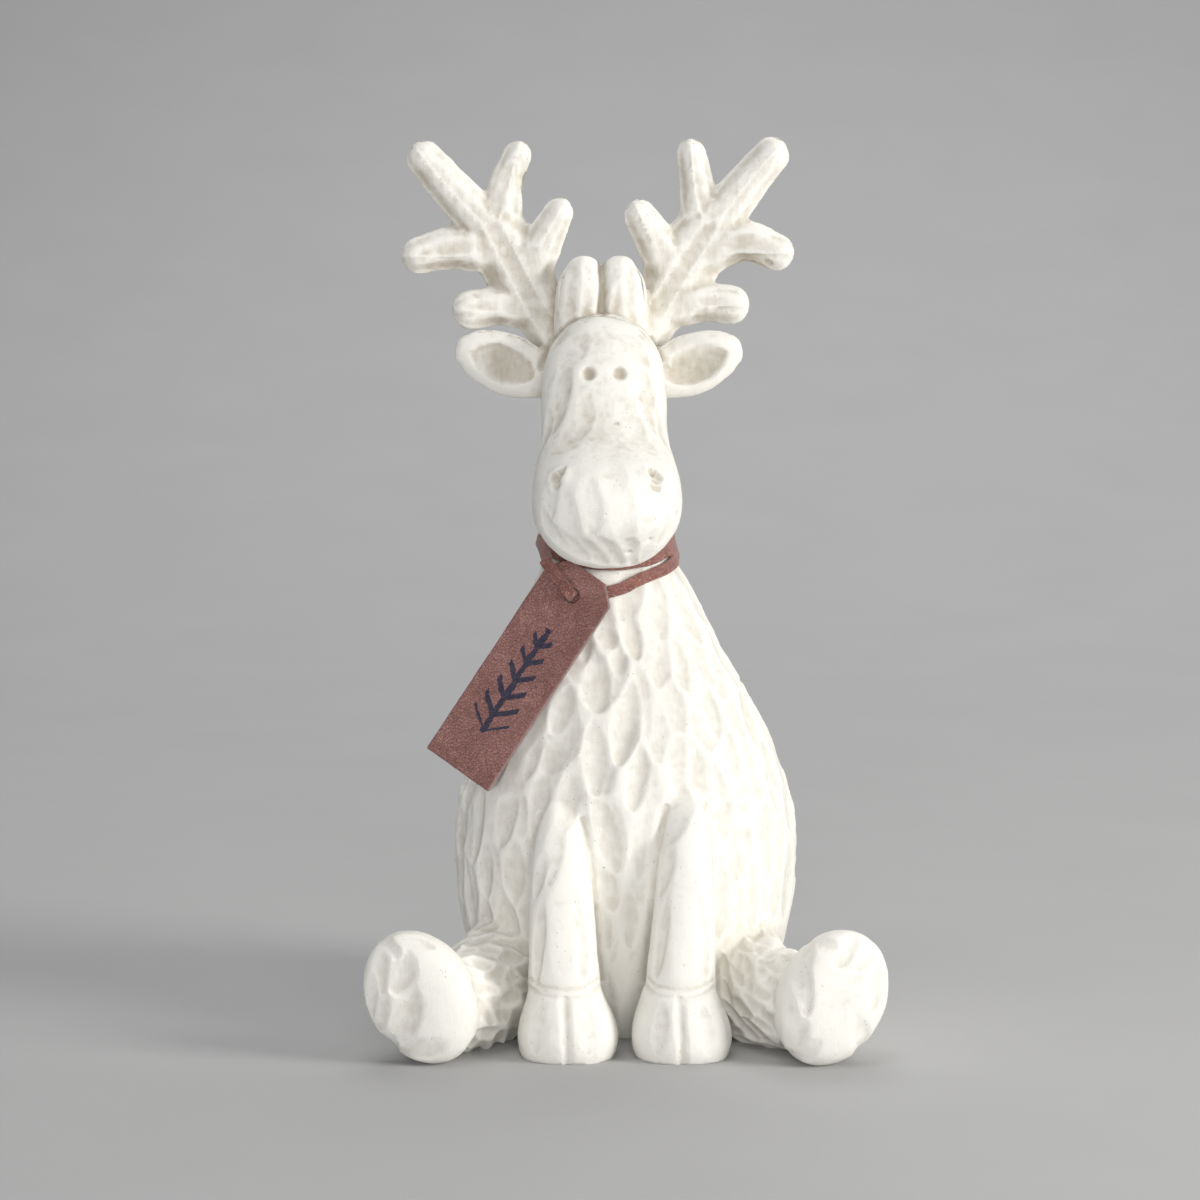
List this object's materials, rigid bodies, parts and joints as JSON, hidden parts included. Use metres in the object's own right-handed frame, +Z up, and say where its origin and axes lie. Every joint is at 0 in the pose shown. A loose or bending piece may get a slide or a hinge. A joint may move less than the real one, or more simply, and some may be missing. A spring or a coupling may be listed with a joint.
{
  "type": "reindeer figurine",
  "caption": "Seated reindeer figurine cast in one piece with gouged fur, antlers and splayed feet, wearing a leather tag on a suede lace.",
  "frame": {"origin": "on the ground, under the middle of the figurine's box", "axes": "+Z up, the figurine faces -Y, its right side is at -X"},
  "size_m": [0.1702, 0.154, 0.2995],
  "materials": {
    "whitewashed_cast_stone": "matte whitewash over cast stone, greyer in the cuts",
    "tag_leather": "smooth brown leather, satin",
    "lace_suede": "brown suede, matte"
  },
  "bodies": {
    "root": {"cast_reindeer": "whitewashed_cast_stone", "leather_tag": "tag_leather", "neck_lace": "lace_suede"}
  },
  "joints": []
}
